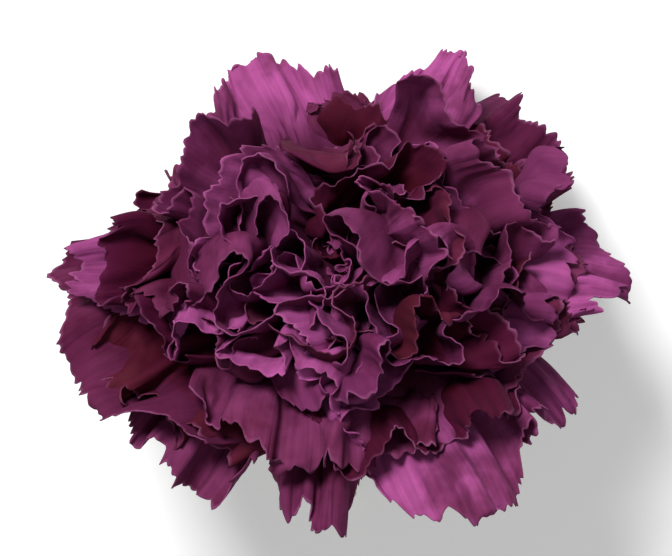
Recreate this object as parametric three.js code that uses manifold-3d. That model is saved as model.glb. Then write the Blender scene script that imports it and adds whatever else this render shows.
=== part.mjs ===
// A cut carnation, lying on its side on a table: a double bloom of ruffled, saw-edged petals, the green calyx
// that holds their claws, two pairs of bracts at its foot, and a short stem cut across.
// Millimetres, +Z up. Everything is made in the flower's own frame, where +W (here the local Z axis) points out
// of the bloom and the origin is the middle of the calyx mouth, and the flower is then laid down as a whole.
import * as THREE from "three";
import { mergeVertices } from "three/addons/utils/BufferGeometryUtils.js";
import Module from "manifold-3d";

const wasm = await Module();
wasm.setup();

// ---- Driving dimensions -------------------------------------------------------------------------------------
const TILT = THREE.MathUtils.degToRad(30); // how far the flower's axis rises from the table
const MOUTH = new THREE.Vector3(0.65, 2.3, 21.6); // where the calyx mouth stands when the flower lies down
const GAP = 0.3; // between the claws of the petals and the calyx

const CALYX = {
  length: 29,
  mouthRadius: 7.8,
  waistRadius: 6.9,
  footRadius: 4.4,
  wall: 0.8,
  floor: 1.3,
  teeth: 5,
  sidesPerTooth: 8,
  toothTop: 2,
  toothHeight: 6,
};
const STEM = { length: 13, radius: 2.1, headRadius: 3.6, headHeight: 2.4 };
const BRACT = {
  thickness: 0.7,
  spread: THREE.MathUtils.degToRad(92),
  flare: 7,
  outline: [[0, 0.7], [0.2, 0.86], [0.45, 1], [0.65, 0.86], [0.8, 0.5], [0.9, 0.2], [1, 0.07]], // height, width
  columns: [-1, -0.6, -0.2, 0.2, 0.6, 1],
  pairs: [{ length: 10, lift: 1.15 }, { length: 11.5, lift: 0.5 }], // the outer pair and the inner one
};
const PETAL = { thickness: 0.7, rootRadius: [0.6, 6.2], toothDepth: 0.9, wrap: 0.65 };
const NOD = THREE.MathUtils.degToRad(30); // how far the crown of inner petals leans towards the front
const SWAY = THREE.MathUtils.degToRad(14); // and towards the left
const HEART = [[14, 7.5], [21, 11], [18, 16.5], [9, 20.5], [0, 21.5]]; // radius and height of the crowded middle

// Outer petals, one by one: bearing round the axis, lean from the axis, length, half width, roll about the
// midrib, lengthwise fold, extra curl at the tip (degrees and mm), ruffle depth and number of waves.
const OUTER_PETALS = [
  [206, 97, 40, 21, 0, 0, 6, 0.45, 2.0],
  [183, 88, 38, 10, 10, 0, 0, 0.6, 2.0],
  [236, 101, 39, 12, 0, 0, 10, 0.9, 2.2],
  [258, 104, 41, 9, 0, 0, 12, 0.8, 2.0],
  [295, 97, 47, 15, 0, 0, 8, 0.5, 1.8],
  [330, 103, 31, 11, 0, 0, 6, 0.9, 2.6],
  [353, 90, 40, 11, -14, 0, 0, 0.5, 1.8],
  [17, 86, 30, 13, 8, 0, 0, 0.7, 2.3],
  [38, 80, 35, 14, 0, 0, 4, 0.6, 2.0],
  [58, 70, 37, 8, 0, 0, 0, 0.5, 2.0],
  [90, 103, 28, 14, 0, 0, 0, 0.7, 2.0],
  [109, 71, 35, 13, 0, 0, 0, 0.6, 2.0],
  [147, 84, 20, 13, 0, 0, 0, 0.7, 2.2],
];
// Inner whorls: number of petals, lean, length, half width, bearing of the first, depth and number of ruffles.
const WHORLS = [
  { count: 6, lean: 80, length: 36, half: 16, first: 10, roll: 20, ruffle: 1.05, waves: 2.2 },
  { count: 5, lean: 60, length: 34, half: 16, first: 25, roll: 40, ruffle: 1.15, waves: 2.0 },
  { count: 4, lean: 38, length: 33, half: 15, first: 0, roll: 55, ruffle: 1.15, waves: 1.7 },
  { count: 3, lean: 14, length: 30, half: 13, first: 30, roll: 45, ruffle: 1.1, waves: 1.5 },
];
// Notches in the bloom's outline: bearing, breadth and depth as a share of a petal's length.
const NOTCHES = [[337, 16, 0.12], [277, 14, 0.12], [162, 22, 0.25], [82, 14, 0.1], [30, 20, 0.05]];

// ---- Small helpers ------------------------------------------------------------------------------------------
const { degToRad, clamp, smoothstep, lerp } = THREE.MathUtils;

// A repeatable draw from 0 to 1 for petal i and trait k, and the same from -1 to 1.
function chance(i, k) {
  const v = Math.sin(i * 127.1 + k * 311.7) * 43758.5453;
  return v - Math.floor(v);
}
const signedChance = (i, k) => 2 * chance(i, k) - 1;

function material(colour, roughness) {
  return new THREE.MeshStandardMaterial({ color: colour, roughness, metalness: 0 });
}

// A closed three.js geometry as a solid that can be joined and cut.
function solidOf(geometry) {
  const plain = new THREE.BufferGeometry().setAttribute("position", geometry.getAttribute("position"));
  if (geometry.index) plain.setIndex(geometry.index);
  const merged = mergeVertices(plain, 1e-4);
  return new wasm.Manifold(
    new wasm.Mesh({
      numProp: 3,
      vertProperties: new Float32Array(merged.attributes.position.array),
      triVerts: new Uint32Array(merged.index.array),
    }),
  );
}

function geometryOf(solid) {
  const mesh = solid.getMesh();
  const points = new Float32Array(mesh.numVert * 3);
  for (let i = 0; i < mesh.numVert; i++) {
    points.set(mesh.vertProperties.subarray(i * mesh.numProp, i * mesh.numProp + 3), i * 3);
  }
  return new THREE.BufferGeometry()
    .setAttribute("position", new THREE.BufferAttribute(points, 3))
    .setIndex(new THREE.BufferAttribute(new Uint32Array(mesh.triVerts), 1));
}

// The largest body of a solid, with any hollow that has been closed off inside it filled.
function largestBody(solid) {
  return solid.decompose().reduce((best, body) => (body.volume() > best.volume() ? body : best));
}

// The flower's weight presses what touches the table flat: a solid in the flower's frame, cut at the table.
function pressedFlat(solid) {
  const table = new THREE.BoxGeometry(200, 200, 40).translate(0, 0, -20);
  table.applyMatrix4(laidDown().invert());
  return solid.subtract(solidOf(table));
}

// Normals of a grid of points, from the differences between neighbours.
function gridNormals(grid) {
  const last = (a) => a.length - 1;
  return grid.map((row, i) =>
    row.map((_, j) => {
      const along = grid[Math.min(i + 1, last(grid))][j].clone().sub(grid[Math.max(i - 1, 0)][j]);
      const across = row[Math.min(j + 1, last(row))].clone().sub(row[Math.max(j - 1, 0)]);
      return across.cross(along).normalize();
    }),
  );
}

// A closed blade of even thickness about a grid of points. Both faces are split along the same diagonals.
function bladeGeometry(grid, thickness) {
  const rows = grid.length;
  const cols = grid[0].length;
  const normals = gridNormals(grid);
  const points = [];
  for (const side of [0.5, -0.5]) {
    grid.forEach((row, i) =>
      row.forEach((p, j) => points.push(...p.clone().addScaledVector(normals[i][j], side * thickness).toArray())),
    );
  }
  const under = rows * cols;
  const at = (i, j) => i * cols + j;
  const faces = [];
  for (let i = 0; i < rows - 1; i++) {
    for (let j = 0; j < cols - 1; j++) {
      const [a, b, c, d] = [at(i, j), at(i, j + 1), at(i + 1, j + 1), at(i + 1, j)];
      faces.push(a, b, c, a, c, d);
      faces.push(under + a, under + c, under + b, under + a, under + d, under + c);
    }
  }
  const rim = [];
  for (let j = 0; j < cols - 1; j++) rim.push(at(0, j));
  for (let i = 0; i < rows - 1; i++) rim.push(at(i, cols - 1));
  for (let j = cols - 1; j > 0; j--) rim.push(at(rows - 1, j));
  for (let i = rows - 1; i > 0; i--) rim.push(at(i, 0));
  rim.forEach((p, k) => {
    const q = rim[(k + 1) % rim.length];
    faces.push(q, p, under + p, q, under + p, under + q);
  });
  return new THREE.BufferGeometry()
    .setAttribute("position", new THREE.BufferAttribute(new Float32Array(points), 3))
    .setIndex(faces);
}

// ---- Petals -------------------------------------------------------------------------------------------------
// The petals on the side that rests on the table are shorter, and so are those at the notches of the outline.
function shortening(bearing) {
  const towardsTable = Math.max(0, Math.sin(degToRad(bearing)));
  const away = (middle) => ((bearing - middle + 540) % 360) - 180;
  const notches = NOTCHES.reduce(
    (sum, [middle, breadth, depth]) => sum + depth * Math.exp(-((away(middle) / breadth) ** 2)),
    0,
  );
  return 1 - 0.23 * towardsTable ** 0.6 - notches;
}

function petalList() {
  const petals = OUTER_PETALS.map(([bearing, lean, length, half, roll, fold, curl, ruffle, waves], i) => ({
    seed: i, bearing, lean, length, half, roll, fold, curl, ruffle, waves,
  }));
  WHORLS.forEach((whorl, k) => {
    for (let j = 0; j < whorl.count; j++) {
      const i = petals.length;
      const bearing = whorl.first + (360 * j) / whorl.count;
      petals.push({
        seed: i,
        bearing: bearing + 9 * signedChance(i, 1),
        lean: whorl.lean + 6 * signedChance(i, 2),
        length: whorl.length * (1 + 0.06 * signedChance(i, 3)) * shortening(bearing),
        half: whorl.half * (1 + 0.12 * signedChance(i, 4)),
        roll: whorl.roll * signedChance(i, 5),
        fold: k > 0 ? Math.max(0, 45 * signedChance(i, 6)) : 0,
        curl: 18 * signedChance(i, 7),
        ruffle: whorl.ruffle * (1 + 0.15 * signedChance(i, 8)),
        waves: whorl.waves + 0.5 * signedChance(i, 9),
      });
    }
  });
  return petals;
}

// The petal's midrib from its root: radius from the axis, height and lean at each of its steps.
function midrib(petal, steps = 80) {
  const line = [];
  const [inner, outer] = PETAL.rootRadius;
  let r = inner + (outer - inner) * clamp(petal.lean / 100, 0, 1) * 0.97;
  let w = 0;
  const leanAt = (s) => degToRad(petal.lean * smoothstep(s, 0, 0.42) + petal.curl * s ** 3);
  for (let k = 0; k <= steps; k++) {
    const lean = leanAt(k / steps);
    if (k > 0) {
      const mean = (lean + leanAt((k - 1) / steps)) / 2;
      r += (Math.sin(mean) * petal.length) / steps;
      w += (Math.cos(mean) * petal.length) / steps;
    }
    line.push({ r, w, lean });
  }
  return (s) => {
    const x = clamp(s, 0, 1) * steps;
    const k = Math.min(Math.floor(x), steps - 1);
    const f = x - k;
    const [a, b] = [line[k], line[k + 1]];
    return { r: lerp(a.r, b.r, f), w: lerp(a.w, b.w, f), lean: lerp(a.lean, b.lean, f) };
  };
}

const PETAL_ROWS = [0.06, 0.34, 0.6, 0.82, 1];
const PETAL_CELLS = 8;

// A sine wave with flattened tops, so that a petal bends in creases with flatter facets between them.
const crispWave = (angle, sharpness) => Math.tanh(sharpness * Math.sin(angle)) / Math.tanh(sharpness);

// The crown of inner petals leans towards the front and a little to the left.
function nodded(point, lean) {
  const inner = clamp(1 - lean / 90, 0, 1);
  const { x, y, z } = point;
  const [c, s] = [Math.cos(NOD * inner), Math.sin(NOD * inner)];
  const [y1, z1] = [y * c - z * s, y * s + z * c];
  const [c2, s2] = [Math.cos(SWAY * inner), Math.sin(SWAY * inner)];
  return new THREE.Vector3(x * c2 - z1 * s2, y1, x * s2 + z1 * c2);
}

// The grid of points in the middle of a petal. Each row is a ruffled line across the petal, bent by an angle
// that swings from side to side, so that the ruffles gather the petal instead of widening it.
function petalGrid(petal) {
  const rib = midrib(petal);
  const draw = (k) => chance(petal.seed, 20 + k);
  const turn = 2 * Math.PI;
  const fine = 6; // integration steps to a cell
  const steps = PETAL_CELLS * fine;
  const bearing = degToRad(petal.bearing);
  return PETAL_ROWS.map((s) => {
    const here = rib(s);
    const grow = 0.13 + 0.87 * Math.sin(0.5 * Math.PI * clamp(s / 0.92, 0, 1)) ** 1.25;
    const half = petal.half * grow;
    const hug = (PETAL.wrap * Math.cos(here.lean) * half) / Math.max(here.r, 3);
    const phase = 1.2 * (draw(5) - 0.5) * s;
    const skew = (t) => 1 + 0.15 * (draw(3) - 0.5) * t;
    const deepest = petal.ruffle * 0.95 * smoothstep(s, 0.18, 0.95);
    const ruffleAt = (t) => deepest * crispWave(turn * ((petal.waves / 2) * t * skew(t) + draw(4)) + phase, 2);
    const foldAt = (t) => degToRad(petal.fold) * Math.tanh(t / 0.22) * smoothstep(s, 0.1, 0.7);
    const ts = Array.from({ length: steps + 1 }, (_, k) => -1 + (2 * k) / steps);
    const gathered = ts.reduce((sum, t) => sum + Math.cos(ruffleAt(t)), 0) / ts.length;
    const width = half / Math.max(0.45, gathered);
    const across = [0];
    const rise = [0];
    for (let k = 1; k <= steps; k++) {
      const t = (ts[k] + ts[k - 1]) / 2;
      const angle = hug * t + foldAt(t) + ruffleAt(t);
      across.push(across[k - 1] + (width * Math.cos(angle) * 2) / steps);
      rise.push(rise[k - 1] + (width * Math.sin(angle) * 2) / steps);
    }
    const roll = degToRad(petal.roll) * smoothstep(s, 0.2, 0.9);
    return Array.from({ length: PETAL_CELLS + 1 }, (_, j) => {
      const k = j * fine;
      const t = ts[k];
      const scallop = 0.05 * Math.sin(turn * (0.8 * t + draw(1))) + 0.03 * Math.sin(turn * (1.7 * t + draw(2)));
      const tooth = s === 1 ? (PETAL.toothDepth * (j % 2 ? 1 : -1)) / petal.length : 0;
      const along = s * (1 - 0.24 * Math.abs(t) ** 2.6 + scallop * s) + tooth;
      const p = rib(Math.min(along, 1));
      const x0 = across[k] - across[steps / 2];
      const swell = Math.sin(turn * (0.9 * s + 0.6 * t + draw(11)));
      const wave = 1.6 * swell + Math.sin(turn * (1.7 * s - 0.5 * t + draw(12)));
      const z0 = rise[k] - rise[steps / 2] + s ** 1.5 * wave;
      const x = x0 * Math.cos(roll) - z0 * Math.sin(roll);
      const z = x0 * Math.sin(roll) + z0 * Math.cos(roll);
      const r = p.r - z * Math.cos(p.lean);
      const w = p.w + z * Math.sin(p.lean);
      const at = new THREE.Vector3(
        r * Math.cos(bearing) - x * Math.sin(bearing),
        r * Math.sin(bearing) + x * Math.cos(bearing),
        w,
      );
      return nodded(at, petal.lean);
    });
  });
}

// ---- Bloom: every petal fused to the bundle of claws that fills the calyx ---------------------------------------
function clawBundle() {
  const inside = (w) => calyxRadius(w) - CALYX.wall - GAP;
  const floor = -CALYX.length + CALYX.floor + GAP;
  const profile = [new THREE.Vector2(0, floor), new THREE.Vector2(inside(floor) - 0.6, floor)];
  for (const w of [floor + 1, -25, -21, -15, -8, 0, 3]) profile.push(new THREE.Vector2(inside(w), w));
  for (const [r, w] of HEART) profile.push(new THREE.Vector2(r, w));
  const bundle = new THREE.LatheGeometry(profile, 12).rotateX(Math.PI / 2);
  const place = bundle.attributes.position;
  for (let i = 0; i < place.count; i++) {
    const above = Math.max(0, place.getZ(i) - HEART[0][1]); // the crowded heart leans with the crown
    place.setXY(i, place.getX(i) - above * Math.tan(SWAY * 0.7), place.getY(i) - above * Math.tan(NOD * 0.7));
  }
  return bundle;
}

// The room the calyx needs among the petals: its wall with a gap all round.
function calyxRoom() {
  const heights = [-CALYX.length - 1, -22, -15, -8, -4, 0, CALYX.toothTop + GAP];
  const outside = heights.map((w) => new THREE.Vector2(calyxRadius(w) + GAP, w));
  const inside = heights.map((w) => new THREE.Vector2(calyxRadius(w) - CALYX.wall - GAP, w)).reverse();
  return new THREE.LatheGeometry([...outside, ...inside, outside[0]], 24).rotateX(Math.PI / 2);
}

function bloomGeometry() {
  const blades = petalList().map((petal) => solidOf(bladeGeometry(petalGrid(petal), PETAL.thickness)));
  const joined = wasm.Manifold.union([solidOf(clawBundle()), ...blades]).subtract(solidOf(calyxRoom()));
  return geometryOf(largestBody(pressedFlat(joined)));
}

// ---- Calyx, bracts and stem -------------------------------------------------------------------------------------
// Outer radius of the calyx at a height w from its mouth, which is at w = 0 and its foot at -length.
function calyxRadius(w) {
  const down = clamp(-w / CALYX.length, 0, 1);
  if (w > 0) return CALYX.mouthRadius + 0.06 * w;
  const wall = lerp(CALYX.mouthRadius, CALYX.waistRadius, smoothstep(down, 0, 0.6));
  return lerp(wall, CALYX.footRadius, smoothstep(down, 0.72, 1));
}

// The calyx: a cup whose rim rises in five teeth, closed at its foot.
function calyxGeometry() {
  const around = CALYX.teeth * CALYX.sidesPerTooth;
  const foot = -CALYX.length;
  const rimHeight = (k) => {
    const fromTip = Math.abs(((k / CALYX.sidesPerTooth) % 1) - 0.5) * 2; // 0 at a tooth's tip, 1 in a notch
    return CALYX.toothTop - CALYX.toothHeight * fromTip ** 1.3;
  };
  const belowTeeth = CALYX.toothTop - CALYX.toothHeight - 4;
  const inner = (w) => calyxRadius(w) - CALYX.wall;
  const levels = [1.5, 4, 8, 14].map((up) => foot + up);
  const profile = [
    { radius: calyxRadius, height: () => foot },
    ...levels.map((w) => ({ radius: calyxRadius, height: () => w })),
    { radius: calyxRadius, height: () => belowTeeth },
    { radius: calyxRadius, height: (k) => lerp(belowTeeth, rimHeight(k), 0.5) },
    { radius: calyxRadius, height: rimHeight },
    { radius: inner, height: (k) => rimHeight(k) - 0.2 },
    { radius: inner, height: (k) => lerp(belowTeeth, rimHeight(k), 0.5) },
    { radius: inner, height: () => belowTeeth },
    ...levels.slice(1).reverse().map((w) => ({ radius: inner, height: () => w })),
    { radius: inner, height: () => foot + CALYX.floor },
  ];
  const points = profile.flatMap(({ radius, height }) =>
    Array.from({ length: around }, (_, k) => {
      const a = (2 * Math.PI * k) / around;
      const w = height(k);
      return [radius(w) * Math.cos(a), radius(w) * Math.sin(a), w];
    }).flat(),
  );
  const faces = [];
  for (let i = 0; i < profile.length - 1; i++) {
    for (let k = 0; k < around; k++) {
      const m = (k + 1) % around;
      const [a, b, c, d] = [i * around + k, i * around + m, (i + 1) * around + m, (i + 1) * around + k];
      faces.push(a, b, c, a, c, d);
    }
  }
  const under = points.length / 3;
  points.push(0, 0, foot, 0, 0, foot + CALYX.floor);
  const top = (profile.length - 1) * around;
  for (let k = 0; k < around; k++) {
    const m = (k + 1) % around;
    faces.push(under, m, k);
    faces.push(under + 1, top + k, top + m);
  }
  return new THREE.BufferGeometry()
    .setAttribute("position", new THREE.BufferAttribute(new Float32Array(points), 3))
    .setIndex(faces);
}

// A broad, pointed scale that clasps the foot of the calyx, its own foot sunk into the stem's head.
function bractGeometry({ length, lift }, bearing) {
  const foot = -CALYX.length - 0.6;
  const grid = BRACT.outline.map(([s, share]) => {
    const w = foot + length * s;
    const flare = BRACT.flare * Math.max(0, s - 0.6) ** 2;
    const r = calyxRadius(w) + lift * smoothstep(s, 0, 0.4) + flare;
    return BRACT.columns.map((t) => {
      const a = (BRACT.spread / 2) * share * t;
      return new THREE.Vector3(r * Math.cos(a), r * Math.sin(a), w);
    });
  });
  return bladeGeometry(grid, BRACT.thickness).rotateZ(bearing);
}

// The stem and its widened head, sunk into the foot of the calyx and cut straight across below.
function stemGeometry() {
  const top = -CALYX.length;
  const end = top - STEM.length;
  const profile = [
    [0, end],
    [STEM.radius - 0.2, end],
    [STEM.radius, end + 0.2],
    [STEM.radius, top - STEM.headHeight * 2],
    [lerp(STEM.radius, STEM.headRadius, 0.35), top - STEM.headHeight],
    [STEM.headRadius, top - 0.3],
    [STEM.headRadius, top + 0.5],
    [0, top + 0.5],
  ].map(([r, w]) => new THREE.Vector2(r, w));
  return new THREE.LatheGeometry(profile, 24).rotateX(Math.PI / 2);
}

// Everything green grew as one body: stem, two pairs of bracts and the calyx.
function greenGeometry() {
  const pieces = [calyxGeometry(), stemGeometry()];
  BRACT.pairs.forEach((pair, k) => {
    pieces.push(bractGeometry(pair, (Math.PI / 2) * k), bractGeometry(pair, (Math.PI / 2) * (k + 2)));
  });
  return geometryOf(largestBody(pressedFlat(wasm.Manifold.union(pieces.map(solidOf)))));
}

// ---- Laying the flower down -------------------------------------------------------------------------------------
// Turns the flower's frame so that its axis rises from the table towards +Y.
function laidDown() {
  const turn = new THREE.Matrix4().makeRotationX(TILT - Math.PI / 2);
  return new THREE.Matrix4().makeTranslation(MOUTH.x, MOUTH.y, MOUTH.z).multiply(turn);
}

const flower = new THREE.Group();
flower.applyMatrix4(laidDown());

function add(name, geometry, look) {
  const mesh = new THREE.Mesh(geometry, look);
  mesh.name = name;
  flower.add(mesh);
}

const petalLook = material(0x7a1f55, 0.6);
const greenLook = material(0x6f8a5a, 0.6);

add("bloom", bloomGeometry(), petalLook);
add("stem_and_calyx", greenGeometry(), greenLook);

export default flower;
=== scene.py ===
"""A cut carnation lying on a pale table: a double bloom of wine-purple petals, each its own thin sheet,
with the calyx, bracts and stub of stem that carry it.

The petals are laid out in the flower's own frame, in millimetres: w runs along the flower's axis out of the
bloom, and the origin is the middle of the calyx mouth. They start as nested cones and are then crumpled
together little by little, pushing each other aside, so that they fold round one another and hardly cross.
"""
import math

import bpy
import numpy as np
from mathutils import Matrix, Vector


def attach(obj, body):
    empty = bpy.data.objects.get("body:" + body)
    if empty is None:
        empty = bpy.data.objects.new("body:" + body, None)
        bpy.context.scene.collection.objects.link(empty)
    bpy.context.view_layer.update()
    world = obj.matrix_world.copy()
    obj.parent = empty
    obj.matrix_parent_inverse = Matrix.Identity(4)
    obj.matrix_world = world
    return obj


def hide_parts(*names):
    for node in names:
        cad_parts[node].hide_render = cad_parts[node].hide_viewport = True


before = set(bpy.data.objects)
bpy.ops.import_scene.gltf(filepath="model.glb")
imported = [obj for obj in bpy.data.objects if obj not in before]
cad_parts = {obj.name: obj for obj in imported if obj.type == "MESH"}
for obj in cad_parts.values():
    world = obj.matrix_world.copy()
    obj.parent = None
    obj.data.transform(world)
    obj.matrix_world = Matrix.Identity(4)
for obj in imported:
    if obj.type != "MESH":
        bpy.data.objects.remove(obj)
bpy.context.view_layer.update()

# ---- The flower's place and main sizes, in millimetres and degrees ----------------------------------------
TILT = math.radians(30)  # how far the flower's axis rises from the table
MOUTH = (0.65, 2.3, 21.6)  # where the middle of the calyx mouth stands
NOD = 24  # how far the crown of inner petals leans towards the front, in degrees
CALYX_LENGTH = 29
CALYX_MOUTH_RADIUS = 7.8
CALYX_WAIST_RADIUS = 6.9
CALYX_FOOT_RADIUS = 4.4
TOOTH_TOP = 2  # how far the teeth of the calyx reach past its mouth
TOOTH_HEIGHT = 6
STEM_LENGTH = 13
STEM_RADIUS = 2.1
STEM_HEAD_RADIUS = 3.6
STEM_HEAD_HEIGHT = 2.4

# ---- Petals -----------------------------------------------------------------------------------------------
ROWS, COLUMNS = 28, 49  # points along and across a petal while the petals are being crumpled
FINER_ROWS, FINER_COLUMNS = 3, 3  # how many times finer the finished sheet is
PETAL_THICKNESS = 0.34
PETAL_EDGE_SHARE = 0.4  # how much of that is left at the margin
ROOT_RADIUS = 0.6  # how far from the axis the innermost petals rise
ROOT_SPREAD = 5.6  # and how much further out the outermost do
TRAITS = ("bearing", "lean", "length", "half", "roll", "fold", "curl", "ruffle", "waves", "scallop", "painted_highlight")

# Outer petals, one by one: bearing round the axis, lean from the axis, length, half width, roll about the
# midrib, lengthwise fold, curl of the tip, depth and number of the ruffles, depth of the coarse scallops
# (below nought they are hollow, with points between), and how much painted highlight brightens the petal's
# purple.
OUTER_PETALS = (
    (206, 97, 39, 21, 0, 0, 6, 0.45, 2.0, 0.3, 0.12),
    (188, 88, 37, 9, 10, 0, 0, 0.6, 2.0, 0.6, 0.6),
    (234, 101, 39, 10, 0, 0, 10, 0.9, 2.2, -0.8, 0.3),
    (265, 104, 41, 6.5, 0, 0, 12, 0.8, 2.0, 0.5, 0.2),
    (294, 97, 47, 11.5, 0, 0, 8, 0.6, 1.8, -0.8, 0.85),
    (320, 103, 36, 8, 0, 0, 6, 0.9, 2.6, 0.8, 0.4),
    (353, 90, 39, 9, -14, 0, 0, 0.7, 1.8, 0.8, 0.85),
    (17, 86, 29, 13, 8, 0, 0, 0.7, 2.3, 0.5, 0.3),
    (44, 80, 37, 14, 0, 0, 4, 0.6, 2.0, 0.5, 0.2),
    (60, 70, 37, 6.5, 0, 0, 0, 0.8, 2.0, 0.7, 0.9),
    (90, 103, 28, 14, 0, 0, 0, 0.7, 2.0, 0.4, 0.2),
    (113, 71, 35, 10, 0, 0, 0, 0.8, 2.2, 0.8, 0.85),
    (147, 84, 20, 13, 0, 0, 0, 0.7, 2.2, 0.5, 0.1),
)
# Inner whorls, outermost first: number of petals, lean, length, half width, bearing of the first petal,
# depth of the ruffles, spread of roll, and number of ruffles.
WHORLS = (
    (10, 86, 36, 16, 10, 1.05, 15, 2.6),
    (9, 68, 35, 17, 20, 1.20, 25, 2.2),
    (8, 50, 34, 18, 40, 1.20, 30, 1.8),
    (6, 34, 33, 18, 20, 1.20, 30, 1.7),
    (5, 20, 32, 17, 10, 1.20, 30, 1.6),
    (3, 6, 38, 9, 80, 1.00, 20, 1.0),
)
# The stretch on the left where the inner petals stand close and upright: bearing and breadth.
STANDING = (182, 40)
# Notches in the bloom's outline: bearing, breadth and depth as a share of a petal's length.
NOTCHES = (
    (342, 14, 0.14),
    (318, 12, 0.14),
    (280, 11, 0.20),
    (249, 10, 0.12),
    (160, 22, 0.22),
    (134, 15, 0.20),
    (80, 20, 0.26),
    (30, 20, 0.16),
)


def chance(i, k):
    """A repeatable draw from 0 to 1 for petal i and trait k."""
    v = math.sin(i * 127.1 + k * 311.7) * 43758.5453
    return v - math.floor(v)


def signed_chance(i, k):
    return 2 * chance(i, k) - 1


def smooth_step(x, low, high):
    t = np.clip((x - low) / (high - low), 0, 1)
    return t * t * (3 - 2 * t)


def near(bearing, middle, breadth):
    """1 at the middle bearing, falling to nothing over about twice the breadth."""
    away = (bearing - middle + 180) % 360 - 180
    return math.exp(-((away / breadth) ** 2))


def shortening(bearing):
    """What is left of a petal's length on the side that rests on the table and at the outline's notches."""
    towards_table = max(0.0, math.sin(math.radians(bearing)))
    notches = sum(depth * near(bearing, middle, breadth) for middle, breadth, depth in NOTCHES)
    return 1 - 0.23 * towards_table**0.6 - notches


def painted_brightness(i, whorl, bearing):
    """How much painted highlight brightens the purple of petal i: most in the middle whorls, on the side
    towards the table.
    """
    if whorl == len(WHORLS) - 1:
        return 0.6
    painted_highlight = (1.0 if whorl else 0.35) * chance(i, 11) ** 2 * (1 - 0.8 * near(bearing, 55, 60))
    if whorl in (2, 3):
        painted_highlight += 0.9 * near(bearing, 88, 16)
    return painted_highlight


def inner_petal(i, whorl, j):
    """The traits of petal i, which is number j of an inner whorl."""
    count, lean, length, half, first, ruffle, roll, waves = WHORLS[whorl]
    bearing = first + 360 * j / count
    loose = 1 - near(bearing, *STANDING) * (1.0 if whorl else 0.5)
    fold = max(0.0, 25 * signed_chance(i, 6)) if whorl else 0.0
    return {
        "bearing": bearing + 9 * signed_chance(i, 1),
        "lean": lean + 6 * signed_chance(i, 2) - 24 * (1 - loose),
        "length": length * (1 + 0.06 * signed_chance(i, 3)) * shortening(bearing),
        "half": half * (1 + 0.12 * signed_chance(i, 4)) * (0.75 + 0.25 * loose),
        "roll": roll * signed_chance(i, 5) * loose,
        "fold": fold * loose,
        "curl": 18 * signed_chance(i, 7),
        "ruffle": ruffle * (1 + 0.15 * signed_chance(i, 8)),
        "waves": waves + 0.5 * signed_chance(i, 9),
        "scallop": 0.4 + 0.8 * chance(i, 10),
        "painted_highlight": painted_brightness(i, whorl, bearing),
    }


def petal_traits():
    """One row of traits for each petal, outermost petals first."""
    petals = [dict(zip(TRAITS, row)) for row in OUTER_PETALS]
    for whorl, row in enumerate(WHORLS):
        for j in range(row[0]):
            petals.append(inner_petal(len(petals), whorl, j))
    return petals


def as_columns(petals):
    """Every trait as an array with one entry for each petal, and twelve free draws d1 to d12."""
    columns = {name: np.array([float(p[name]) for p in petals])[:, None, None] for name in TRAITS}
    for k in range(1, 13):
        draws = [chance(i, 20 + k) for i in range(len(petals))]
        columns[f"d{k}"] = np.array(draws)[:, None, None]
    return columns


def running_sum(values, step):
    """The integral from the first column to each column, by the trapezium rule."""
    middle = (values[..., 1:] + values[..., :-1]) / 2 * step
    return np.concatenate([np.zeros_like(values[..., :1]), np.cumsum(middle, axis=-1)], axis=-1)


def crisp_wave(angle, sharpness):
    """A sine wave with flattened tops, so that a petal bends in creases with flatter facets between them."""
    return np.tanh(sharpness * np.sin(angle)) / math.tanh(sharpness)


def midribs(p, crumple, steps):
    """Distance from the axis, height and lean at the steps of each midrib, which rises and then leans out."""
    s = np.linspace(0, 1, steps + 1)[None, :]
    curl = p["curl"][:, 0] * s**3
    lean = np.radians(p["lean"][:, 0] * smooth_step(s, 0, 0.42) + crumple * curl)
    step = p["length"][:, 0] / steps
    root = ROOT_RADIUS + ROOT_SPREAD * np.clip(p["lean"][:, 0] / 100, 0, 1)
    return root + running_sum(np.sin(lean), step), running_sum(np.cos(lean), step), lean


def between_steps(values, place):
    """What values, given at whole steps along each midrib, are at places that may lie between two steps."""
    before = np.minimum(place.astype(int), values.shape[1] - 2)
    part = place - before
    flat = before.reshape(len(values), -1)
    low = np.take_along_axis(values, flat, 1).reshape(before.shape)
    high = np.take_along_axis(values, flat + 1, 1).reshape(before.shape)
    return low * (1 - part) + high * part


def ruffles(p, s, t):
    """How far a line across each petal swings from straight, in radians: broad ruffles with finer ones."""
    turn = 2 * math.pi
    uneven = p["waves"] / 2 * t * (1 + 0.15 * (p["d3"] - 0.5) * t)
    broad = turn * (uneven + p["d4"]) + 1.2 * (p["d5"] - 0.5) * s
    fine = turn * (p["waves"] * (1.1 + 0.3 * p["d6"]) * t + p["d7"]) + 2 * (p["d8"] - 0.5) * s
    swing = 0.95 * smooth_step(s, 0.18, 0.95) * crisp_wave(broad, 2.0)
    return swing + 0.85 * smooth_step(s, 0.5, 1.0) * crisp_wave(fine, 1.6)


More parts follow.
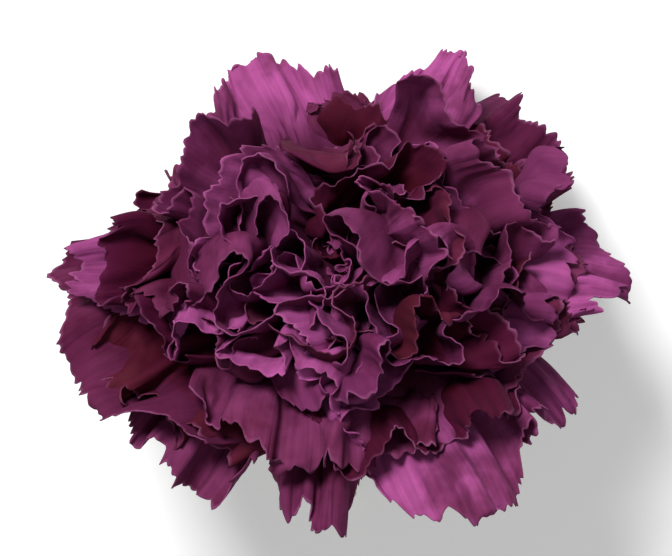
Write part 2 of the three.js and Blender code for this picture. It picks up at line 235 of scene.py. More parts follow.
def across_petals(p, crumple, s, t, from_axis, lean):
    """How far each point lies sideways (x) and inwards (z) from its petal's midrib."""
    turn = 2 * math.pi
    # a narrow claw that widens into the blade
    half = p["half"] * (0.13 + 0.87 * np.sin(0.5 * math.pi * np.clip(s / 0.92, 0, 1)) ** 1.25)
    swing = crumple * p["ruffle"] * ruffles(p, s, t)
    hug = (1 - 0.35 * crumple) * np.cos(lean) / np.maximum(from_axis, 3.0) * half * t
    fold = np.radians(p["fold"]) * crumple * np.tanh(t / 0.22) * smooth_step(s, 0.1, 0.7)
    gather = 1 / np.maximum(0.45, np.mean(np.cos(swing), axis=2, keepdims=True))
    column_step = 2 / (COLUMNS - 1)
    middle = COLUMNS // 2
    x = half * gather * running_sum(np.cos(hug + fold + swing), column_step)
    z = half * gather * running_sum(np.sin(hug + fold + swing), column_step)
    x = x - x[:, :, middle : middle + 1]
    z = z - z[:, :, middle : middle + 1]
    z = z + crumple * s**1.5 * (
        1.6 * np.sin(turn * (0.9 * s + 0.6 * t + p["d11"])) + np.sin(turn * (1.7 * s - 0.5 * t + p["d12"]))
    )
    roll = np.radians(p["roll"]) * crumple * smooth_step(s, 0.2, 0.9)
    return x * np.cos(roll) - z * np.sin(roll), x * np.sin(roll) + z * np.cos(roll)


def petal_sheets(p, crumple, steps=80):
    """Middle surface of every petal, as an array (petal, row, column, xyz), for a crumple from 0 to 1.

    At 0 the petals are smooth nested cones. Each row is a line across the petal whose direction swings from
    side to side, so that ruffles gather the petal instead of widening it.
    """
    turn = 2 * math.pi
    s = np.linspace(0, 1, ROWS)[None, :, None]
    t = np.linspace(-1, 1, COLUMNS)[None, None, :]
    rib_r, rib_w, lean = midribs(p, crumple, steps)
    whole = np.rint(np.linspace(0, steps, ROWS)).astype(int)
    x, z = across_petals(p, crumple, s, t, rib_r[:, whole, None], lean[:, whole, None])
    # the sides of the fan-shaped petal are shorter than its middle
    bulge = 0.05 * np.sin(turn * (0.8 * t + p["d1"])) + 0.03 * np.sin(turn * (1.7 * t + p["d2"]))
    along = np.clip(s * (1 - 0.24 * np.abs(t) ** 2.6 + bulge * crumple * s), 0, 1) * steps
    r, w, tip = between_steps(rib_r, along), between_steps(rib_w, along), between_steps(lean, along)
    # round the axis
    bearing = np.radians(p["bearing"])
    r, w = r - z * np.cos(tip), w + z * np.sin(tip)
    px = r * np.cos(bearing) - x * np.sin(bearing)
    py = r * np.sin(bearing) + x * np.cos(bearing)
    # the crown of inner petals leans towards the front
    nod = math.radians(NOD) * np.clip(1 - p["lean"] / 90, 0, 1)
    py, w = py * np.cos(nod) - w * np.sin(nod), py * np.sin(nod) + w * np.cos(nod)
    return np.stack([px, py, w], axis=-1)


# Pairs of neighbouring points whose distance a petal keeps: rows apart, columns apart.
SPRINGS = ((1, 0), (0, 1), (1, 1), (1, -1), (2, 0), (0, 2))


def spring_ends(shape):
    """For each spring, two sets of (rows, columns) such that no point is in a set twice."""
    rows, columns = shape
    sets = []
    for down, right in SPRINGS:
        i = np.arange(rows - down)
        j = np.arange(max(0, -right), columns - max(0, right))
        for odd in (0, 1):
            if down:
                sets.append((i[(i // down) % 2 == odd], j, down, right))
            else:
                sets.append((i, j[(j // right) % 2 == odd], down, right))
    return sets


def spring_lengths(sheets, sets):
    lengths = []
    for i, j, down, right in sets:
        d = sheets[:, i[:, None] + down, j[None, :] + right] - sheets[:, i[:, None], j[None, :]]
        lengths.append(np.sqrt(d[..., 0] ** 2 + d[..., 1] ** 2 + d[..., 2] ** 2))
    return lengths


def keep_lengths(sheets, sets, lengths, firmness=0.75):
    """Moves the two ends of every spring towards its proper length."""
    for (i, j, down, right), length in zip(sets, lengths):
        a = (slice(None), i[:, None], j[None, :])
        b = (slice(None), i[:, None] + down, j[None, :] + right)
        d = sheets[b] - sheets[a]
        now = np.sqrt(d[..., 0] ** 2 + d[..., 1] ** 2 + d[..., 2] ** 2) + 1e-9
        shift = (0.5 * firmness * (1 - length / now))[..., None] * d
        sheets[a] += shift
        sheets[b] -= shift


def near_pairs(points, reach):
    """Indices of all pairs of points nearer than reach, found with a grid of cells that size."""
    cell = np.floor(points / reach).astype(np.int64)
    cell -= cell.min(0) - 1
    size = cell.max(0) + 2
    key = (cell[:, 0] * size[1] + cell[:, 1]) * size[2] + cell[:, 2]
    order = np.argsort(key, kind="stable")
    ordered = key[order]
    here = np.arange(len(ordered))
    firsts, seconds = [], []
    around = (-1, 0, 1)
    ahead = [(x, y, z) for x in around for y in around for z in around if (x, y, z) >= (0, 0, 0)]
    for x, y, z in ahead:
        jump = (x * size[1] + y) * size[2] + z
        low = here + 1 if jump == 0 else np.searchsorted(ordered, ordered + jump, "left")
        high = np.searchsorted(ordered, ordered + jump, "right")
        many = np.maximum(high - low, 0)
        a = np.repeat(here, many)
        b = np.repeat(low, many) + np.arange(len(a)) - np.repeat(np.cumsum(many) - many, many)
        firsts.append(order[a])
        seconds.append(order[b])
    a, b = np.concatenate(firsts), np.concatenate(seconds)
    d = points[b] - points[a]
    distance = np.sqrt(d[:, 0] ** 2 + d[:, 1] ** 2 + d[:, 2] ** 2)
    close = distance < reach
    return a[close], b[close], d[close], distance[close]


def push_apart(sheets, first_row, reach=1.25):
    """Pushes apart points of different petals, or of distant parts of one petal, that are too near."""
    count, rows, columns = sheets.shape[:3]
    free = rows - first_row
    points = sheets[:, first_row:].reshape(-1, 3)
    petal = np.repeat(np.arange(count), free * columns)
    row = np.tile(np.repeat(np.arange(free), columns), count)
    column = np.tile(np.arange(columns), count * free)
    a, b, d, distance = near_pairs(points, reach)
    apart = (petal[a] != petal[b]) | (np.abs(row[a] - row[b]) > 2) | (np.abs(column[a] - column[b]) > 3)
    a, b, d, distance = a[apart], b[apart], d[apart], distance[apart]
    push = (0.4 * (reach - distance) / (distance + 1e-6))[:, None] * d
    forward = [np.bincount(b, push[:, k], len(points)) for k in range(3)]
    backward = [np.bincount(a, push[:, k], len(points)) for k in range(3)]
    move = np.stack(forward, 1) - np.stack(backward, 1)
    size = np.sqrt((move**2).sum(1)) + 1e-9
    move *= np.minimum(1, 0.45 * reach / size)[:, None]
    sheets[:, first_row:] += move.reshape(count, free, columns, 3)


def stay_on_table(sheets):
    """Lifts points that would pass through the table."""
    up_y, up_w = -math.cos(TILT), math.sin(TILT)
    clearance = 0.05
    below = PETAL_THICKNESS / 2 + clearance - (sheets[..., 1] * up_y + sheets[..., 2] * up_w + MOUTH[2])
    below = np.maximum(below, 0)
    sheets[..., 1] += below * up_y
    sheets[..., 2] += below * up_w


def crumpled_petals(p, steps=40, settle=12, pull=0.10):
    """Crumples all the petals together, from nested cones to ruffled sheets that hardly cross."""
    sheets = petal_sheets(p, 0.0)
    sets = spring_ends(sheets.shape[1:3])
    rooted, free = 4, 6  # rows held in the calyx, and the first row that feels other petals
    for n in range(steps + settle):
        goal = petal_sheets(p, min(1.0, (n + 1) / steps))
        sheets += pull * (goal - sheets)
        sheets[:, :rooted] = goal[:, :rooted]
        lengths = spring_lengths(goal, sets)
        for _ in range(2):
            push_apart(sheets, free)
            keep_lengths(sheets, sets, lengths)
            keep_lengths(sheets, sets, lengths)
            stay_on_table(sheets)
        sheets[:, :rooted] = goal[:, :rooted]
    return sheets


def finer(sheets, axis, times):
    """Smooth points between the points along an axis, nearer a B-spline than the points themselves."""
    a = np.moveaxis(sheets, axis, 0)
    n = len(a)
    e = np.concatenate([2 * a[:1] - a[1:2], a, 2 * a[-1:] - a[-2:-1]], 0)
    u = np.linspace(0, n - 1, (n - 1) * times + 1)
    i = np.minimum(u.astype(int), n - 2)
    f = (u - i).reshape((-1,) + (1,) * (a.ndim - 1))
    p0, p1, p2, p3 = e[i], e[i + 1], e[i + 2], e[i + 3]
    through = p1 + 0.5 * f * (p2 - p0 + f * (2 * p0 - 5 * p1 + 4 * p2 - p3 + f * (3 * p1 - p0 - 3 * p2 + p3)))
    smoothed = (1 - f) ** 3 * p0 + (3 * f**3 - 6 * f**2 + 4) * p1
    smoothed = (smoothed + (1 + 3 * f * (1 + f - f * f)) * p2 + f**3 * p3) / 6
    return np.moveaxis(0.35 * through + 0.65 * smoothed, 0, axis)


def wrinkled(sheet, i, petal, broad_depth=0.40, narrow_depth=0.07, frill_depth=0.14):
    """Creases that fan out from the foot of petal i, deeper to its margin and fewer on a narrow petal."""
    s = np.linspace(0, 1, sheet.shape[0])[:, None]
    t = np.linspace(-1, 1, sheet.shape[1])[None, :] * petal["half"] / 15
    turn = 2 * math.pi
    draw = [chance(i, 100 + k) for k in range(8)]
    broad = crisp_wave(turn * ((2.4 + 1.6 * draw[0]) * t + draw[1]) + 3 * (draw[2] - 0.5) * s, 1.5)
    narrow = crisp_wave(turn * ((6 + 4 * draw[3]) * t + draw[4]) + 3 * (draw[5] - 0.5) * s, 1.2)
    frill = np.sin(turn * ((11 + 4 * draw[6]) * t + draw[7]))
    height = broad_depth * smooth_step(s, 0.3, 1.0) * broad + narrow_depth * smooth_step(s, 0.2, 0.8) * narrow
    height = height + frill_depth * smooth_step(s, 0.85, 1.0) * frill
    return sheet + grid_normals(sheet) * (min(1.0, petal["ruffle"]) * height)[..., None]


def lobes(along_edge, sharpness):
    """Rounded lobes with narrow notches between them, one to each unit along the edge: 0 to 1."""
    return 1 - np.abs(2 * (along_edge % 1) - 1) ** sharpness


def toothed_margin(sheet, i, scallop, pitch=1.5, depth=0.66, scallop_depth=1.8):
    """Cuts the margin of petal i into fine pointed teeth, on coarse scallops about three times as wide."""
    toothed_rows, scalloped_rows = 3, 9  # how far in from the margin the sheet stretches or shrinks with them
    steps = np.diff(sheet[-1], axis=0)
    arc = np.concatenate([[0], np.cumsum(np.sqrt((steps**2).sum(-1)))])
    draw = [chance(i, 60 + k) for k in range(8)]
    uneven = 0.5 + 1.0 * np.abs(np.sin(arc * 0.37 + 6 * draw[5]))
    tooth = arc / (pitch * (0.85 + 0.5 * draw[0])) + 0.35 * np.sin(arc * 0.9 + 6 * draw[1]) + draw[2]
    fine = lobes(tooth, 1.5)
    coarse = lobes(arc / (4.6 + 2.4 * draw[3]) + 0.35 * np.sin(arc * 0.31 + 6 * draw[6]) + draw[4], 2.0)
    out = sheet.copy()
    for back in range(1, scalloped_rows + 1):
        along = sheet[-back] - sheet[-back - 2]
        along = along / (np.sqrt((along**2).sum(-1, keepdims=True)) + 1e-9)
        near_edge = max(0.0, 1 - (back - 1) / toothed_rows)
        inwards = (1 - (back - 1) / scalloped_rows) ** 2
        teeth = near_edge * depth * uneven * (fine - 0.4)
        reach = teeth + inwards * scallop_depth * scallop * (coarse - 0.6)
        out[-back] += along * reach[:, None]
    return out


# ---- Meshes -----------------------------------------------------------------------------------------------
def on_table(points):
    """Flower frame in millimetres to the row's frame in metres."""
    x, y, w = points[..., 0], points[..., 1], points[..., 2]
    out = np.stack(
        [
            MOUTH[0] + x,
            MOUTH[1] + y * math.sin(TILT) + w * math.cos(TILT),
            MOUTH[2] - y * math.cos(TILT) + w * math.sin(TILT),
        ],
        axis=-1,
    )
    out[..., 2] = np.maximum(out[..., 2], 0)  # what would reach below the table is pressed flat on it
    return out * 0.001


def grid_normals(grid):
    normal = np.cross(np.gradient(grid, axis=1), np.gradient(grid, axis=0))
    return normal / (np.sqrt((normal**2).sum(-1, keepdims=True)) + 1e-12)


def mesh_from(name, points, faces, values):
    """A mesh of quads in the row's frame, with named values at its points."""
    mesh = bpy.data.meshes.new(name)
    mesh.vertices.add(len(points))
    mesh.vertices.foreach_set("co", on_table(points).astype(np.float32).ravel())
    mesh.loops.add(faces.size)
    mesh.loops.foreach_set("vertex_index", faces.astype(np.int32).ravel())
    mesh.polygons.add(len(faces))
    mesh.polygons.foreach_set("loop_start", (np.arange(len(faces)) * 4).astype(np.int32))
    mesh.polygons.foreach_set("use_smooth", np.ones(len(faces), bool))
    for key, value in values.items():
        layer = mesh.attributes.new(key, "FLOAT", "POINT")
        layer.data.foreach_set("value", np.asarray(value, np.float32).ravel())
    mesh.update(calc_edges=True)
    return mesh


def sheet_mesh(name, grid, thickness, **values):
    """A closed thin sheet about a grid of points. thickness may differ from row to row."""
    rows, columns = grid.shape[:2]
    half = np.broadcast_to(np.asarray(thickness, float) / 2, (rows,))[:, None, None]
    offset = grid_normals(grid) * half
    points = np.concatenate([(grid + offset).reshape(-1, 3), (grid - offset).reshape(-1, 3)])
    index = np.arange(rows * columns).reshape(rows, columns)
    a, b = index[:-1, :-1].ravel(), index[:-1, 1:].ravel()
    c, d = index[1:, 1:].ravel(), index[1:, :-1].ravel()
    under = rows * columns
    rim = np.concatenate([index[0, :-1], index[:-1, -1], index[-1, :0:-1], index[:0:-1, 0]])
    after = np.roll(rim, -1)
    faces = np.concatenate(
        [
            np.stack([a, b, c, d], 1),
            np.stack([d, c, b, a], 1) + under,
            np.stack([after, rim, rim + under, after + under], 1),
        ]
    )
    along = np.repeat(np.linspace(0, 1, rows), columns)
    across = np.tile(np.linspace(-1, 1, columns), rows)
    both = {"along": np.tile(along, 2), "across": np.tile(across, 2), "side": np.repeat([1.0, 0.0], under)}
    both.update({key: np.full(2 * under, value) for key, value in values.items()})
    return mesh_from(name, points, faces, both)


def turned_mesh(name, rings, values=None):
    """A closed body from rings of points about the flower's axis, from one end to the other."""
    levels, around = rings.shape[:2]
    points = np.concatenate([rings.reshape(-1, 3), rings[[0, -1]].mean(1)])
    index = np.arange(levels * around).reshape(levels, around)
    after = np.roll(index, -1, axis=1)
    walls = np.stack([index[:-1], after[:-1], after[1:], index[1:]], -1).reshape(-1, 4)
    first, last = len(points) - 2, len(points) - 1
    ends = [(after[0, k], index[0, k], first) for k in range(around)]
    ends += [(index[-1, k], after[-1, k], last) for k in range(around)]
    mesh = bpy.data.meshes.new(name)
    mesh.from_pydata(on_table(points).tolist(), [], walls.tolist() + ends)
    mesh.shade_smooth()
    for key, value in (values or {}).items():
        layer = mesh.attributes.new(key, "FLOAT", "POINT")
        rows = np.repeat(np.asarray(value, float), around) if np.ndim(value) == 1 else np.ravel(value)
        layer.data.foreach_set("value", np.append(rows, [rows[0], rows[-1]]).astype(np.float32))
    return mesh


def piece(mesh, material, node):
    """Puts a finished mesh in the scene as a piece that stands for a CAD node."""
    obj = bpy.data.objects.new(mesh.name, mesh)
    bpy.context.scene.collection.objects.link(obj)
    mesh.materials.append(material)
    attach(obj, "root")
    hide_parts(node)
    return obj


# ---- Colours ----------------------------------------------------------------------------------------------
# dark wine of the petal roots: partly their own colour, partly painted shading of the bloom's hollows
ROOT_WINE_AND_SHADING = (0.015, 0.0002, 0.0006, 1)
DEEP_PLUM = (0.042, 0.0014, 0.0044, 1)
VIOLET_TIP = (0.070, 0.0062, 0.0310, 1)
WINE_TIP = (0.090, 0.0110, 0.0200, 1)
# painted highlight: the bright magenta of petals as if lit or shone through by the lamps
PAINTED_HIGHLIGHT_MAGENTA = (0.560, 0.115, 0.390, 1)
DARK_VEIN = (0.030, 0.0015, 0.010, 1)
PALE_FOLD = (0.160, 0.012, 0.075, 1)
# painted shadow: darker patches laid over the petals
PAINTED_SHADOW_PATCH = (0.040, 0.002, 0.014, 1)
UNDERSIDE = (0.070, 0.005, 0.025, 1)
# pale petal rim: partly the paler cut edge, partly a painted highlight where it catches light
PALE_RIM_AND_HIGHLIGHT = (0.42, 0.13, 0.30, 1)
LIGHT_THROUGH = (0.24, 0.002, 0.040, 1)
SHEEN = (1.0, 0.35, 0.75, 1)
CLAW_LINE = (0.20, 0.17, 0.08, 1)
CLAW_WHITE = (0.36, 0.34, 0.19, 1)
CLAW_FLUSH = (0.07, 0.006, 0.025, 1)
LEAF_GREEN = (0.115, 0.185, 0.060, 1)
PALE_GREEN = (0.185, 0.270, 0.110, 1)
WAX = (0.330, 0.400, 0.300, 1)
CALYX_MARGIN = (0.42, 0.36, 0.20, 1)
BRACT_MARGIN = (0.40, 0.33, 0.19, 1)
CUT_PITH = (0.48, 0.50, 0.27, 1)
FLOOR_WHITE = (0.93, 0.93, 0.93, 1)


# ---- Materials --------------------------------------------------------------------------------------------
class Nodes:
    """A node tree being written: makes nodes and joins what is given to their sockets."""

    def __init__(self, tree):
        self.tree = tree

    def add(self, kind, settings=None, **sockets):
        node = self.tree.nodes.new(kind)
        for key, value in (settings or {}).items():
            setattr(node, key, value)
        for key, value in sockets.items():
            self.put(node.inputs[key.replace("_", " ")], value)
        return node

    def put(self, socket, value):
        if isinstance(value, bpy.types.NodeSocket):
            self.tree.links.new(value, socket)
        else:
            socket.default_value = value

    def attribute(self, name):
        return self.add("ShaderNodeAttribute", {"attribute_name": name}).outputs["Fac"]

    def math(self, operation, a, b):
        node = self.add("ShaderNodeMath", {"operation": operation})
        self.put(node.inputs[0], a)
        self.put(node.inputs[1], b)
        return node.outputs[0]

    def mix(self, share, a, b):
        node = self.add("ShaderNodeMix", {"data_type": "RGBA"})
        self.put(node.inputs[0], share)
        self.put(node.inputs[6], a)
        self.put(node.inputs[7], b)
        return node.outputs[2]

    def span(self, value, low, high, to_low=0.0, to_high=1.0):
        node = self.add("ShaderNodeMapRange", {"interpolation_type": "SMOOTHSTEP"})
        for socket, number in zip(node.inputs, (value, low, high, to_low, to_high)):
            self.put(socket, number)
        return node.outputs[0]

    def group(self, tree, **sockets):
        node = self.tree.nodes.new("ShaderNodeGroup")
        node.node_tree = tree
        for key, value in sockets.items():
            self.put(node.inputs[key.replace("_", " ")], value)
        return node.outputs


def new_group(name, inputs, outputs):
    """An empty node group with named sockets, and the writer, inputs and output node for it."""
    tree = bpy.data.node_groups.new(name, "ShaderNodeTree")
    for label, kind, value in inputs:
        socket = tree.interface.new_socket(name=label, in_out="INPUT", socket_type=f"NodeSocket{kind}")
        socket.default_value = value
    for label, kind in outputs:
        tree.interface.new_socket(name=label, in_out="OUTPUT", socket_type=f"NodeSocket{kind}")
    start = tree.nodes.new("NodeGroupInput")
    end = tree.nodes.new("NodeGroupOutput")
    return tree, Nodes(tree), start.outputs, end.inputs


def make_fine_veins():
    """Fine lines that run along a petal, bract or stem, from its own along and across values."""
    inputs = [
        ("Along", "Float", 0.0),
        ("Across", "Float", 0.0),
        ("Lines", "Float", 30.0),
        ("Waver", "Float", 3.0),
        ("Seed", "Float", 0.0),
    ]
    tree, n, given, result = new_group("fine veins", inputs, [("Value", "Float")])
    place = n.add("ShaderNodeCombineXYZ")
    n.put(place.inputs[0], n.math("MULTIPLY", given["Across"], given["Lines"]))
    n.put(place.inputs[1], n.math("MULTIPLY", given["Along"], given["Waver"]))
    n.put(place.inputs[2], given["Seed"])
    noise = n.add("ShaderNodeTexNoise", Scale=1.0, Detail=3.0, Roughness=0.55)
    n.put(noise.inputs["Vector"], place.outputs[0])
    n.put(result["Value"], n.span(noise.outputs["Fac"], 0.3, 0.7))
    return tree


def make_blotches():
    """Soft uneven patches of colour, in the object's own space."""
    inputs = [("Scale", "Float", 100.0), ("Low", "Float", 0.35), ("High", "Float", 0.65)]
    tree, n, given, result = new_group("blotches", inputs, [("Value", "Float")])
    place = n.add("ShaderNodeTexCoord")
    noise = n.add("ShaderNodeTexNoise", Detail=4.0, Roughness=0.6)
    n.put(noise.inputs["Vector"], place.outputs["Object"])
    n.put(noise.inputs["Scale"], given["Scale"])
    n.put(result["Value"], n.span(noise.outputs["Fac"], given["Low"], given["High"]))
    return tree


def new_material(name):
    material = bpy.data.materials.new(name)
    material.use_nodes = True
    material.node_tree.nodes.clear()
    n = Nodes(material.node_tree)
    return material, n, n.add("ShaderNodeOutputMaterial").inputs["Surface"]


def petal_colour(n, fine, broad, patches, lit):
    """Dark wine at the root, partly painted shading of the bloom's hollows, and plum to magenta at the
    margin, redder or bluer from petal to petal; the magenta is a painted highlight, and painted shadow
    patches and a pale rim that is partly a painted highlight lie over it.
    """
    along = n.attribute("along")
    tip = n.mix(n.span(n.attribute("seed"), 0, 10), VIOLET_TIP, WINE_TIP)
    # darker towards the root: the petal's own wine deepened with painted shading of the bloom's hollows
    body = n.mix(n.span(along, 0.30, 0.80), ROOT_WINE_AND_SHADING, DEEP_PLUM)
    body = n.mix(n.span(along, 0.70, 1.00), body, tip)
    # painted highlight: chosen petals turn bright magenta towards the margin, broken up by the lit blotches
    painted_highlight = n.math("MULTIPLY", n.attribute("shade"), n.span(along, 0.45, 0.85))
    painted_highlight = n.math("MULTIPLY", painted_highlight, n.span(lit, 0, 1, 0.35, 1.0))
    body = n.mix(n.math("MULTIPLY", painted_highlight, 0.95), body, PAINTED_HIGHLIGHT_MAGENTA)
    body = n.mix(n.math("MULTIPLY", fine, 0.24), body, DARK_VEIN)
    body = n.mix(n.math("MULTIPLY", n.math("MULTIPLY", broad, along), 0.15), body, PALE_FOLD)
    # painted shadow: random darker patches
    body = n.mix(n.math("MULTIPLY", patches, 0.22), body, PAINTED_SHADOW_PATCH)
    body = n.mix(n.math("MULTIPLY", n.attribute("side"), 0.20), body, UNDERSIDE)
    # pale rim at the margin: partly the paler cut edge, partly a painted highlight
    edge = n.math("MULTIPLY", n.span(along, 0.984, 1.0), n.span(broad, 0.2, 0.8, 0.08, 0.40))
    return n.mix(edge, body, PALE_RIM_AND_HIGHLIGHT)


def petal_velvet(veins, blotches):
    """A thin matt petal that lets some light through, with fine veins, a soft nap and a pale cut edge that is
    partly a painted highlight.
    """
    material, n, surface = new_material("petal_velvet")
    strip = {"Along": n.attribute("along"), "Across": n.attribute("across"), "Seed": n.attribute("seed")}
    fine = n.group(veins, **strip, Lines=34.0, Waver=2.5)["Value"]
    broad = n.group(veins, **strip, Lines=6.0, Waver=1.6)["Value"]
    patches = n.group(blotches, Scale=160.0)["Value"]
    # lit: patches of painted light that break up the painted highlight across a petal
    lit = n.group(blotches, Scale=65.0, Low=0.38, High=0.60)["Value"]
    body = petal_colour(n, fine, broad, patches, lit)
    nap = n.group(blotches, Scale=3200.0, Low=0.2, High=0.8)["Value"]
    height = n.math("ADD", n.math("MULTIPLY", fine, 0.7), n.math("MULTIPLY", nap, 0.3))
    bump = n.add("ShaderNodeBump", Strength=0.25, Distance=0.0003)
    n.put(bump.inputs["Height"], height)
    skin = n.add("ShaderNodeBsdfPrincipled", IOR=1.42, Specular_IOR_Level=0.06)
    n.put(skin.inputs["Base Color"], body)
    n.put(skin.inputs["Roughness"], n.span(patches, 0, 1, 0.66, 0.80))
    n.put(skin.inputs["Sheen Weight"], 0.03)
    n.put(skin.inputs["Sheen Roughness"], 0.4)
    n.put(skin.inputs["Sheen Tint"], SHEEN)
    n.put(skin.inputs["Normal"], bump.outputs["Normal"])
    through = n.add("ShaderNodeBsdfTranslucent")
    n.put(through.inputs["Color"], n.mix(0.5, body, LIGHT_THROUGH))
    both = n.add("ShaderNodeMixShader", Fac=0.22)
    n.put(both.inputs[1], skin.outputs[0])
    n.put(both.inputs[2], through.outputs[0])
    n.put(surface, both.outputs[0])
    return material


def pale_claws(veins):
    """The narrow feet of the petals, packed in the calyx: greenish white, flushed with wine at the mouth."""
    material, n, surface = new_material("pale_claws")
    along = n.attribute("along")
    lines = n.group(veins, Along=along, Across=n.attribute("across"), Lines=60.0)["Value"]
    body = n.mix(lines, CLAW_LINE, CLAW_WHITE)
    skin = n.add("ShaderNodeBsdfPrincipled", Roughness=0.6)
    n.put(skin.inputs["Base Color"], n.mix(n.span(along, 0.80, 0.97), body, CLAW_FLUSH))
    n.put(surface, skin.outputs[0])
    return material


def glaucous_green(veins, blotches, name, tip):
    """Grey-green skin with a waxy bloom, and a margin or tip of another colour where along comes to 1."""
    material, n, surface = new_material(name)
    along, across = n.attribute("along"), n.attribute("across")
    lines = n.group(veins, Along=along, Across=across, Lines=46.0, Waver=1.5, Seed=3.0)["Value"]
    wax = n.group(blotches, Scale=240.0, Low=0.4, High=0.7)["Value"]
    body = n.mix(lines, LEAF_GREEN, PALE_GREEN)
    body = n.mix(n.math("MULTIPLY", wax, 0.35), body, WAX)
    body = n.mix(n.span(along, 0.82, 1.0), body, tip)
    bump = n.add("ShaderNodeBump", Strength=0.4, Distance=0.0002)
    n.put(bump.inputs["Height"], lines)
    skin = n.add("ShaderNodeBsdfPrincipled", IOR=1.45, Sheen_Weight=0.15)
    n.put(skin.inputs["Base Color"], body)
    n.put(skin.inputs["Roughness"], n.span(wax, 0, 1, 0.45, 0.62))
    n.put(skin.inputs["Normal"], bump.outputs["Normal"])
    n.put(surface, skin.outputs[0])
    return material


def pale_floor():
    material, n, surface = new_material("pale_floor")
    paint = n.add("ShaderNodeBsdfPrincipled", Roughness=0.8)
    n.put(paint.inputs["Base Color"], FLOOR_WHITE)
    n.put(paint.inputs["Emission Color"], (1, 1, 1, 1))
    n.put(paint.inputs["Emission Strength"], 0.22)
    n.put(surface, paint.outputs[0])
    return material


# ---- Making the bloom -------------------------------------------------------------------------------------
def make_petals(material):
    petals = petal_traits()
    sheets = crumpled_petals(as_columns(petals))
    sheets = finer(finer(sheets, 1, FINER_ROWS), 2, FINER_COLUMNS)
    thickness = PETAL_THICKNESS * np.linspace(1.0, PETAL_EDGE_SHARE, sheets.shape[1])
    for i, petal in enumerate(petals):
        grid = toothed_margin(wrinkled(sheets[i], i, petal), i, petal["scallop"])
        # each petal carries its painted highlight to the material as a point value
        mesh = sheet_mesh(f"petal_{i + 1:02d}", grid, thickness, seed=10 * chance(i, 90), shade=petal["painted_highlight"])
        piece(mesh, material, "bloom")


def make_claws(material, claws=26, around=312, inside=1.1):
    """The bundle of claws that fills the calyx, fluted lengthwise: it shows between the calyx's teeth."""
    foot, top = 1.6 - CALYX_LENGTH, 1.2
    dome_w, dome_radius = (1.8, 2.1), (4.6, 2.4)
    w = np.concatenate([np.linspace(foot, top, 60), dome_w])
    radius = calyx_radius(w) - inside
    radius[-2:] = dome_radius
    a = np.linspace(0, 2 * math.pi, around, endpoint=False)[None]
    flutes = 0.3 * (np.abs(np.cos(claws / 2 * a + 0.15 * np.sin(3 * a))) ** 0.6 - 1)
    rings = rings_at(w[:, None], radius[:, None] + flutes, around)
    piece(turned_mesh("claws", rings, {"along": np.linspace(0, 1, len(w))}), material, "bloom")


# ---- Calyx, bracts and stem -------------------------------------------------------------------------------
def calyx_radius(w):
    """Outer radius of the calyx at a height w from its mouth, which is at 0 and its foot at -CALYX_LENGTH."""
    down = np.clip(-w / CALYX_LENGTH, 0, 1)
    wall = CALYX_MOUTH_RADIUS + (CALYX_WAIST_RADIUS - CALYX_MOUTH_RADIUS) * smooth_step(down, 0, 0.6)
    wall = wall + (CALYX_FOOT_RADIUS - wall) * smooth_step(down, 0.72, 1)
    return np.where(w > 0, CALYX_MOUTH_RADIUS + 0.06 * w, wall)


def rings_at(w, radius, around):
    """Rings about the axis, from w and radius for each level, given once or for each point around."""
    a = np.linspace(0, 2 * math.pi, around, endpoint=False)[None, :]
    w, radius = np.broadcast_arrays(w + 0 * a, radius + 0 * a)
    return np.stack([radius * np.cos(a), radius * np.sin(a), w], axis=-1)


def make_calyx(material, teeth=5, around=240, wall=0.7):
    """A tube whose rim rises in five pointed teeth with papery margins, faintly ribbed lengthwise."""
    a = np.arange(around) / around
    from_tip = np.abs((a * teeth) % 1 - 0.5) * 2
    rim = TOOTH_TOP - TOOTH_HEIGHT * from_tip**1.3
    foot = -CALYX_LENGTH
    up = np.linspace(0, 1, 70)[:, None]
    outer_w = foot + (rim[None] - foot) * up
    inner_w = foot + 1.3 + (rim[None] - 0.1 - foot - 1.3) * up[::-2]
    ribs = 0.07 * np.cos(2 * math.pi * teeth * 7 * a)[None] * smooth_step(up, 0.05, 0.3)
    flare = 0.35 * smooth_step(up, 0.8, 1.0) * (1 - from_tip[None])
    outer = calyx_radius(outer_w) + ribs + flare
    inner = calyx_radius(inner_w) - wall + flare[::-2]
    edge = smooth_step(outer_w, (rim - 2.2)[None], rim[None] + 0.1)
    w = np.concatenate([outer_w, inner_w])
    values = {"along": np.concatenate([edge, edge[::-2]]), "across": np.tile(from_tip, (len(w), 1))}
    mesh = turned_mesh("calyx", rings_at(w, np.concatenate([outer, inner]), around), values)
    piece(mesh, material, "stem_and_calyx")


def make_bract(name, material, length, lift, bearing, spread=92, flare=7):
    """A broad, pointed scale that clasps the foot of the calyx."""
    heights = np.array([0, 0.2, 0.45, 0.65, 0.8, 0.9, 1])
    widths = np.array([0.7, 0.86, 1, 0.86, 0.5, 0.2, 0.03])
    s = np.linspace(0, 1, 60)[:, None]
    t = np.linspace(-1, 1, 41)[None]
    share = np.interp(s[:, 0], heights, widths)[:, None]
    share = np.convolve(np.pad(share[:, 0], 4, mode="edge"), np.ones(9) / 9, "valid")[:, None]
    w = -CALYX_LENGTH - 0.6 + length * s + 0 * t
    keel = 0.25 * np.exp(-((t * share / 0.08) ** 2)) * smooth_step(s, 0.1, 0.9)
    margin = 0.35 * np.abs(t) ** 6 * smooth_step(s, 0.2, 0.6)
    radius = calyx_radius(w) + lift * smooth_step(s, 0, 0.4) + flare * np.maximum(0, s - 0.6) ** 2
    radius = radius + keel + margin
    a = math.radians(bearing) + math.radians(spread / 2) * share * t
    grid = np.stack([radius * np.cos(a), radius * np.sin(a), w], -1)
    thickness = 0.6 - 0.35 * s[:, 0] ** 2
    piece(sheet_mesh(name, grid, thickness), material, "stem_and_calyx")


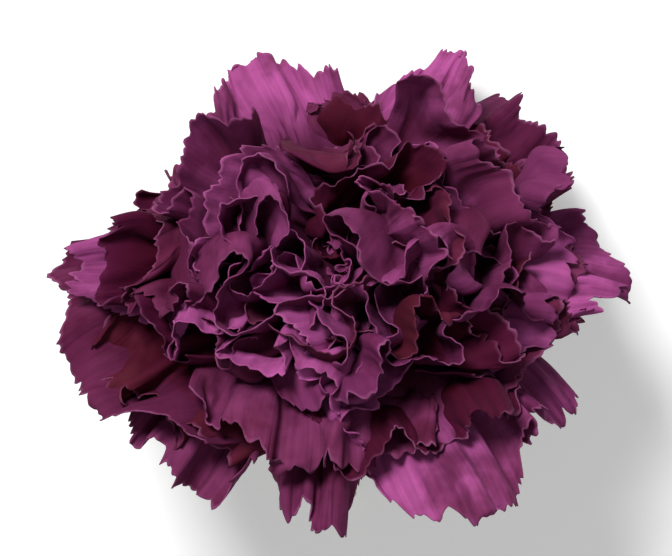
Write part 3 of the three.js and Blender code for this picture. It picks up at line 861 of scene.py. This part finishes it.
def make_stem(material):
    """The stub of stem: widened under the calyx and cut straight across, with its pith a little sunken."""
    foot = -CALYX_LENGTH
    end = foot - STEM_LENGTH
    cut_r = [0.5, 1.0, 1.5, STEM_RADIUS - 0.25, STEM_RADIUS - 0.08]
    cut_w = [end + 0.25, end + 0.16, end + 0.05, end, end + 0.06]
    w = np.linspace(end + 0.2, foot + 0.6, 60)
    neck = smooth_step(w, foot - 2 * STEM_HEAD_HEIGHT, foot - 0.3)
    radius = STEM_RADIUS + (STEM_HEAD_RADIUS - STEM_RADIUS) * neck
    along = np.concatenate([[1.0] * 5, np.zeros(60)])
    w, radius = np.concatenate([cut_w, w]), np.concatenate([cut_r, radius])
    a = np.linspace(0, 2 * math.pi, 96, endpoint=False)[None]
    ridges = 0.05 * np.cos(6 * a) * (1 - along[:, None])
    mesh = turned_mesh("stem", rings_at(w[:, None], radius[:, None] + ridges, 96), {"along": along})
    piece(mesh, material, "stem_and_calyx")


def make_green_parts(veins, blotches):
    make_calyx(glaucous_green(veins, blotches, "calyx_green", CALYX_MARGIN))
    skin = glaucous_green(veins, blotches, "bract_green", BRACT_MARGIN)
    outer_pair, inner_pair = (10, 1.15), (11.5, 0.5)  # length, and height over the calyx
    for k in range(4):
        length, lift = (outer_pair, inner_pair)[k % 2]
        make_bract(f"bract_{k + 1}", skin, length, lift, 90 * k)
    make_stem(glaucous_green(veins, blotches, "stem_green", CUT_PITH))


# ---- Table, light and camera ------------------------------------------------------------------------------
def add_floor(reach=3):
    corners = [(-reach, -reach, 0), (reach, -reach, 0), (reach, reach, 0), (-reach, reach, 0)]
    mesh = bpy.data.meshes.new("floor")
    mesh.from_pydata(corners, [], [(0, 1, 2, 3)])
    mesh.materials.append(pale_floor())
    floor = bpy.data.objects.new("floor", mesh)
    bpy.context.scene.collection.objects.link(floor)


def add_softbox(name, place, size, power, aim=(0, 0, 0.03)):
    light = bpy.data.lights.new(name, "AREA")
    light.size = size
    light.energy = power
    lamp = bpy.data.objects.new(name, light)
    lamp.location = place
    lamp.rotation_euler = (Vector(aim) - Vector(place)).to_track_quat("-Z", "Y").to_euler()
    bpy.context.scene.collection.objects.link(lamp)


def add_sky(strength):
    world = bpy.data.worlds.new("studio")
    world.use_nodes = True
    background = world.node_tree.nodes["Background"]
    background.inputs["Color"].default_value = (1, 1, 1, 1)
    background.inputs["Strength"].default_value = strength
    bpy.context.scene.world = world


def add_camera():
    """Looks down on the bloom from its face's side, 48 degrees above the plane of its outer petals."""
    image_width, image_height = 672, 556
    metres_per_pixel = 0.1357e-3
    distance = 0.42
    mouth_pixel = (342, 302)
    past_vertical = math.radians(48) - TILT
    back = Vector((0, math.sin(past_vertical), math.cos(past_vertical)))
    up = Vector((0, math.cos(past_vertical), -math.sin(past_vertical)))
    right = Vector((1, 0, 0))
    centre = Vector(MOUTH) * 0.001
    centre -= right * (mouth_pixel[0] - image_width / 2) * metres_per_pixel
    centre += up * (mouth_pixel[1] - image_height / 2) * metres_per_pixel
    data = bpy.data.cameras.new("camera")
    data.sensor_width = 36
    data.lens = data.sensor_width * distance / (image_width * metres_per_pixel)
    camera = bpy.data.objects.new("camera", data)
    turn = Matrix((right, up, back)).transposed().to_4x4()
    camera.matrix_world = Matrix.Translation(centre + back * distance) @ turn
    bpy.context.scene.collection.objects.link(camera)
    bpy.context.scene.camera = camera


fine_veins = make_fine_veins()
blotches = make_blotches()
make_petals(petal_velvet(fine_veins, blotches))
make_claws(pale_claws(fine_veins))
make_green_parts(fine_veins, blotches)
add_floor()
add_softbox("key", place=(-0.22, 0.56, 0.55), size=0.22, power=8.3)
add_softbox("fill", place=(0.25, -0.1, 0.8), size=0.5, power=1.0)
add_sky(strength=0.21)
add_camera()
bpy.context.scene.view_settings.view_transform = "Standard"
